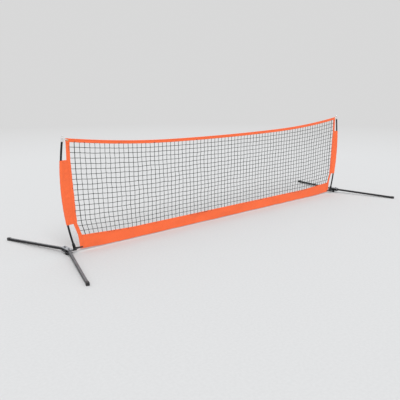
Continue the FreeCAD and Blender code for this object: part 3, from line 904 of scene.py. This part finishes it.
def side_tape_middle(z):
    """Middle surface of the right side tape, for heights z, from the front to the back."""
    section = folded(SIDE_SECTION, SIDE_POINTS)
    zz = np.broadcast_to(z[:, None], (len(z), len(section)))
    inward = section[None, :, 1]
    free = smooth(inward, 0.010, 0.030)
    x = edge_x(zz) - inward + free * rippled(SIDE_EDGE, zz)
    return np.stack([x, free * rippled(SIDE_SWAY, zz) - section[None, :, 0], zz], -1)


def build_side_tape(end, way):
    low, high = CORNER_Z + 0.0015, top_z(TOP_HALF, TAPE_HEIGHT) - 0.0012
    height = high - low
    v = stations(height, step=0.0060)
    middle = side_tape_middle(low + v)
    slope = top_z(middle[..., 0], TAPE_HEIGHT) - top_z(TOP_HALF, TAPE_HEIGHT)
    middle[..., 2] += slope * smooth(middle[..., 2], high - 0.05, high)
    over = running(folded(SIDE_SECTION, SIDE_POINTS))
    half = edged(CLOTH / 2 * hemmed(over, hem=0.006), v, over)
    piece = cloth(f"{end}_side_tape_cloth", middle, half, way, [f"{end}_side_tape"])
    return piece, seams(f"{end}_side_tape", fold_lines(middle, half, over, SIDE_SEAMS, trim=6), way)


# --- the pole sleeves ---

SLEEVE_LAP = 0.009  # how far the sleeve's cloth laps over the side tape
SLEEVE_LAP_Y = 0.00225
POCKET_R = 0.0106  # cloth round the pole
SLEEVE_HEM = 0.016
FLAT_FROM, FLAT_TO = 0.046, 0.062  # where the panel gives way to the pocket, round the cloth
SLEEVE_COUNTS = (5, 13, 25)  # points on its lap, its panel and its pocket
SLEEVE_CREASE = [(0.0016, 0.11, 0.075, 61), (0.0007, 0.05, 0.024, 62)]
POCKET_CREASE = [(0.0006, 0.03, 0.05, 63)]


def round_pole(start, split, side, centre, radius, counts):
    """Plan of a cloth that leaves a seam on both its faces and goes tightly round the pole."""
    reach = math.hypot(centre - split, side)
    swing = math.asin(radius / reach) + math.atan2(-side, centre - split)
    length = math.sqrt(reach ** 2 - radius ** 2)
    touch = math.pi / 2 + swing
    sewn, run, nose = (np.linspace(*ends, count) for ends, count in
                       zip(((start, split), (0, length), (touch, -touch)), counts))
    front = [(x, side) for x in sewn[:-1]]
    front += [(split + s * math.cos(swing), side + s * math.sin(swing)) for s in run[:-1]]
    turn = [(centre + radius * math.cos(a), radius * math.sin(a)) for a in nose]
    return np.array(front + turn + [(x, -y) for x, y in front[::-1]])


def build_sleeve(end, way):
    low, high = sleeve_low.z, sleeve_high.z
    v = stations(high - low, step=0.0062)
    middle = []
    for z in low + v:
        edge = edge_x(z)
        plan = round_pole(edge - SLEEVE_LAP, edge, SLEEVE_LAP_Y, pole_x(z), POCKET_R, SLEEVE_COUNTS)
        middle.append(np.column_stack([plan * [1, -1], np.full(len(plan), z)]))
    middle = np.array(middle)
    over = running(middle[len(middle) // 2][:, :2])
    side = from_edge(over)
    flat = smooth(side, SLEEVE_LAP, 0.022) * (1 - smooth(side, FLAT_FROM, FLAT_TO))
    around, tall = np.meshgrid(over, low + v)
    crease = rippled(SLEEVE_CREASE, around, tall) * flat
    crease += rippled(POCKET_CREASE, around, tall) * smooth(side, 0.05, 0.07)
    calm = smooth(from_edge(v), 0.0, 0.03)[:, None]
    moved = crease * (0.35 + 0.65 * calm)
    middle = middle + normals_of(middle) * moved[..., None]
    hem = 1 - smooth(from_edge(v), SLEEVE_HEM - 0.002, SLEEVE_HEM)
    half = edged((CLOTH / 2 + HEM_ROLL * 0.16 * hem)[:, None], v, over)
    piece = cloth(f"{end}_sleeve_cloth", middle, half, way, [f"{end}_pole_sleeve"])
    lines = fold_lines(middle, half, over, (SEAM_IN, SLEEVE_LAP - 0.001))
    lines += [facing(middle, half, (1, 0, 0), row=row)
              for row in nearest(v, SLEEVE_HEM - 0.0035, v[-1] - SLEEVE_HEM + 0.0035)]
    return piece, seams(f"{end}_sleeve", lines, way), (over[-1], v[-1])


# --- corner patches, eyelets and cords ---

PATCH = 0.0312
PATCH_Y = 0.00288  # middle of the patch's cloth, each side of the net
PATCH_TALL = 1.3  # its height, in widths
PATCH_INSET = 0.0006  # from the end of the net
PATCH_DROP = 0.0012  # from the top edge
PRESSED = 0.0002  # under the eyelet's flange
EYELET_BORE = 0.568  # share of its outer radius
FLANGE = 0.00085  # depth of the flange's underside
CORD_SIDES = 16
STRANDS, BRAID_PITCH, BRAID_DEPTH = 4, 0.006, 0.07  # each way round, length of a turn, share


def corner_patch(end, way, face):
    """A stitched square of cloth over the top corner, on one face of the net."""
    places = stations(PATCH, step=0.0020)
    u, v = np.meshgrid(places, places)
    x = TOP_HALF - PATCH_INSET - u
    drop = PATCH_DROP + v * PATCH_TALL
    inside = from_edge(places)
    inside = np.minimum(inside[:, None], inside)
    lift = PATCH_Y - 0.00045 * (1 - smooth(inside, 0, 0.003))
    lift = lift - 0.0004 * smooth(drop, TAPE_HEIGHT, TAPE_HEIGHT + 0.008) * smooth(-u, -0.02, -0.005)
    middle = np.stack([x, face * lift, top_z(x) - drop], -1)
    hole = np.hypot(x - eyelet_at.x, middle[..., 2] - eyelet_at.z)
    middle[..., 1] -= face * PRESSED * (1 - smooth(hole, 0.0090, 0.0120))
    half = edged(CLOTH / 2, places, places)
    piece = cloth(f"{end}_corner_patch_{'back' if face > 0 else 'front'}", middle, half, way)
    inset, far = nearest(places, SEAM_IN, PATCH - SEAM_IN)
    lines = [facing(middle, half, (0, face, 0), inset, **{kind: k})
             for k in (inset, far) for kind in ("row", "column")]
    return [piece, seams(piece.name, lines, way)]


def eyelet(end, way):
    """A rolled eyelet: a domed flange on each face, joined through the tape by its barrel."""
    out, half = (eyelet_high.x - eyelet_low.x) / 2, eyelet_high.y
    hole = out * EYELET_BORE
    roll = 0.0009
    dome = [(hole + roll * (1 - math.cos(a)), half - roll + roll * math.sin(a))
            for a in np.linspace(0, math.pi / 2, 6)]
    rim = [(out - 0.0006, half - 0.00035), (out, half - 0.00062), (out - 0.0001, half - FLANGE)]
    face = [*dome, *rim, (hole + roll, half - FLANGE)]
    outline = face + [(r, -a) for r, a in face[::-1]]
    return add(f"{end}_eyelet_ring", mirrored(lathe(outline, eyelet_at), way), "eyelet_metal",
               replaced=[f"{end}_eyelet"])


def loop_path(steps=150):
    """The cord's closed line round the cap's neck and through the eyelet."""
    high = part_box("right_corner_loop")[1]
    bend = high.y - CORD_R
    corner = Vector((high.x - CORD_R, 0, high.z - CORD_R))
    far = Vector((eyelet_at.x, 0, eyelet_at.z))
    neck = Vector((high.x, 0, high.z))
    for _ in range(8):  # the loop's far side touches the corner of its box
        along = (far - neck).normalized()
        neck = corner + along * bend
    run, arc = (far - along * bend - neck).length, math.pi * bend
    path = []
    for s in np.arange(steps) / steps * 2 * (run + arc):
        back, s = divmod(s, run + arc)
        turn = max(0, s - run) / bend
        flat, side = min(s, run) + bend * math.sin(turn), bend * math.cos(turn)
        if back:
            flat, side = run - flat, -side
        path.append(neck + along * flat + Vector((0, side, 0)))
    return np.array(path)


def braided(path):
    """A closed braided cord: crossing strands stand out from its round surface."""
    along = 2 * math.pi * running(path)[:, None] / BRAID_PITCH
    turn = STRANDS * np.arange(CORD_SIDES) * 2 * math.pi / CORD_SIDES
    proud = np.maximum(np.sin(turn + along), np.sin(turn - along))
    return tube(path, CORD_R * (1 - BRAID_DEPTH + BRAID_DEPTH * proud), CORD_SIDES, closed=True)


def corner_cord(end, way):
    path = loop_path()
    wander = [rippled([(0.0004, 0.02, 1, 70 + k)], running(path)) for k in range(3)]
    path = path + np.stack(wander, -1)
    add(f"{end}_corner_cord", mirrored(braided(path), way), "white_cord",
        replaced=[f"{end}_corner_loop"], uv=tube_uv(path, CORD_SIDES))


# --- the straps at the bottom corners ---

STRAP_SPLIT = 0.007  # how far out from the band's corner the two halves part
STRAP_Y = 0.0026  # the middle of each half's thickness where it is sewn to the band
STRAP_EDGE = 0.0007
STRAP_COUNTS = (12, 12, 33)
BOX = 10  # stations in the sewn part of each half

def strap_plan(low, high):
    """Middle line of the webbing in plan, from the band's corner round the socket and back."""
    centre = high.x - (high.z - low.z) * math.tan(POLE_LEAN) - high.y
    return round_pole(low.x, FOOT_HALF + STRAP_SPLIT, STRAP_Y, centre, high.y - WEBBING / 2,
                      STRAP_COUNTS)


def bottom_webbing(end, way):
    low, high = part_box("right_bottom_strap")
    height = high.z - low.z
    plan = strap_plan(low, high)
    over = running(plan)
    v = stations(height, step=0.0015, edge=STRAP_EDGE)
    lean = smooth(from_edge(over), 0.025, 0.06) * math.tan(POLE_LEAN)
    middle = np.empty((len(v), len(plan), 3))
    middle[..., 0] = plan[:, 0] + v[:, None] * lean
    middle[..., 1] = plan[:, 1]
    middle[..., 2] = low.z + v[:, None]
    half = edged(WEBBING / 2, v, over, STRAP_EDGE)
    cloth(f"{end}_bottom_webbing", middle, half, way, [f"{end}_bottom_strap"], "black_webbing")
    rows = nearest(v, 0.0018, height - 0.0018)
    lines = []
    for part in (slice(0, BOX), slice(-BOX, None)):
        side, thick = middle[:, part], half[:, part]
        out = side[0, 0] * [0, 1, 0]
        edges = [facing(side, thick, out, row=row) for row in rows]
        ends = [facing(side, thick, out, column=column) for column in (1, BOX - 2)]
        lines += edges + ends + [diagonal(*edges), diagonal(*edges[::-1])]
    seams(f"{end}_webbing", lines, way, "black_webbing", "black_thread")


def diagonal(first, second):
    """A diagonal of the box stitch, from the start of one edge to the end of the other."""
    t = np.linspace(0, 1, len(first[0]))[:, None]
    return first[0] * (1 - t) + second[0] * t, first[1]


# --- welds on the feet ---

SOCKET_BEAD, BLOCK_BEAD = 0.0016, 0.0015  # radius of the weld beads
BEAD_PITCH = 0.0022
BEAD_OUT = 0.0004  # how far the socket's bead stands off it


def bead(path, radius):
    """A weld bead: overlapping ripples along a line."""
    return tube(path, radius * (1 + 0.13 * np.abs(np.sin(math.pi * running(path) / BEAD_PITCH))), 10)


def welds(end, way):
    socket_low, socket_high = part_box("right_pole_socket")
    block_low, block_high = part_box("right_hub_block")
    radius = socket_high.y
    long = radius / math.cos(POLE_LEAN)
    turn = np.linspace(0, 2 * math.pi, 140)
    ring = np.stack([socket_low.x + long + (long + BEAD_OUT) * np.cos(turn),
                     (radius + BEAD_OUT) * np.sin(turn), socket_low.z + 0.0002 + 0 * turn], -1)
    y = np.linspace(block_low.y + 0.001, block_high.y - 0.001, 40)
    parts = [bead(ring, SOCKET_BEAD)]
    parts += [bead(np.stack([x + 0 * y, y, z + 0 * y], -1), BLOCK_BEAD)
              for x in (block_low.x, block_high.x) for z in (block_low.z, block_high.z)]
    add(f"{end}_welds", mirrored(joined(parts), way), "black_steel", body=f"{end}_foot")


# --- the whole object ---


def dress_net():
    netting()
    top_tape, top_seams = build_top_tape()
    band, band_seams = build_band()
    patches = []
    for end, way in ENDS.items():
        tape, sewing = build_side_tape(end, way)
        sleeve, sewing, (around, tall) = build_sleeve(end, way)
        for face in (1, -1):
            patches += corner_patch(end, way, face)
        patches.append(eyelet(end, way))
        corner_cord(end, way)
        bottom_webbing(end, way)
        welds(end, way)


# --- stage, light and camera ---

PALE = 0.69  # the floor as it renders, and the backdrop behind it
FLOOR_R = 60
FADE_FROM, FADE_OVER = 5.0, 7.0  # where the floor turns into the backdrop
SKY = 0.69


def floor():
    """A pale floor that keeps the object's shadow and meets the backdrop without a line."""
    bpy.ops.mesh.primitive_circle_add(vertices=128, radius=FLOOR_R, fill_type="NGON")
    disc = bpy.context.object
    disc.name = "floor"
    n = Nodes("pale_floor")
    place = n.place()
    grain = n.noise(place, 60.0, 3.0)
    tone = n.ramp(grain, [(0.3, 0.62), (0.7, 0.65)])
    n.finish(Base_Color=tone, Roughness=0.9, Normal=n.bump(grain, 0.001, 0.1), Specular_IOR_Level=0.1)
    far = n.add("Emission", Color=rgb(PALE, PALE, PALE), Strength=1.0)
    x, y, _ = n.split(place)
    reach = n.math("SQRT", n.math("ADD", n.math("MULTIPLY", x, x), n.math("MULTIPLY", y, y)))
    fade = n.math("DIVIDE", n.math("SUBTRACT", reach, FADE_FROM), FADE_OVER, clamp=True)
    n.mix_shaders(fade, n.tree.nodes["Principled BSDF"], far, "Material Output")
    disc.data.materials.append(n.owner)


def world():
    """Soft white light all round, seen as a pale backdrop."""
    sky = bpy.data.worlds.new("studio")
    bpy.context.scene.world = sky
    n = Nodes("studio", sky)
    light = n.tree.nodes["Background"]
    n.put(light, "Color", rgb(0.96, 0.98, 1.0))
    n.put(light, "Strength", SKY)
    seen = n.add("Background", Color=rgb(PALE, PALE, PALE))
    rays = n.add("LightPath").outputs
    ray = n.math("MAXIMUM", rays["Is Camera Ray"], rays["Is Glossy Ray"])
    ray = n.math("MAXIMUM", ray, rays["Is Transmission Ray"])
    n.mix_shaders(ray, light, seen, "World Output")


def sun(name, azimuth, height, strength, spread):
    """A soft distant light from an azimuth (0 is in front, 90 to the left) and a height."""
    data = bpy.data.lights.new(name, "SUN")
    data.energy = strength
    data.angle = math.radians(spread)
    lamp = placed(name, data)
    a, e = math.radians(azimuth), math.radians(height)
    towards = Vector((-math.sin(a) * math.cos(e), -math.cos(a) * math.cos(e), math.sin(e)))
    lamp.rotation_euler = towards.to_track_quat("Z", "Y").to_euler()
    lamp.location = towards * 10


CAMERA_AT = (-3.580, -3.653, 1.336)
CAMERA_TURN = (41.1, 12.85, -0.18)  # yaw to the right of +Y, pitch down, roll
LENS, SENSOR = 46.69, 36


def camera():
    data = bpy.data.cameras.new("camera")
    data.lens, data.sensor_width = LENS, SENSOR
    view = placed("camera", data)
    yaw, pitch, roll = (math.radians(a) for a in CAMERA_TURN)
    ahead = Vector((math.sin(yaw) * math.cos(pitch), math.cos(yaw) * math.cos(pitch),
                    -math.sin(pitch)))
    turn = ahead.to_track_quat("-Z", "Y").to_matrix() @ Matrix.Rotation(roll, 3, "Z")
    view.rotation_euler = turn.to_euler()
    view.location = CAMERA_AT
    bpy.context.scene.camera = view


dress_frame()
dress_net()
floor()
world()
sun("key", azimuth=28, height=48, strength=1.85, spread=30)
sun("fill", azimuth=200, height=40, strength=0.5, spread=60)
camera()
bpy.context.scene.view_settings.view_transform = "Standard"
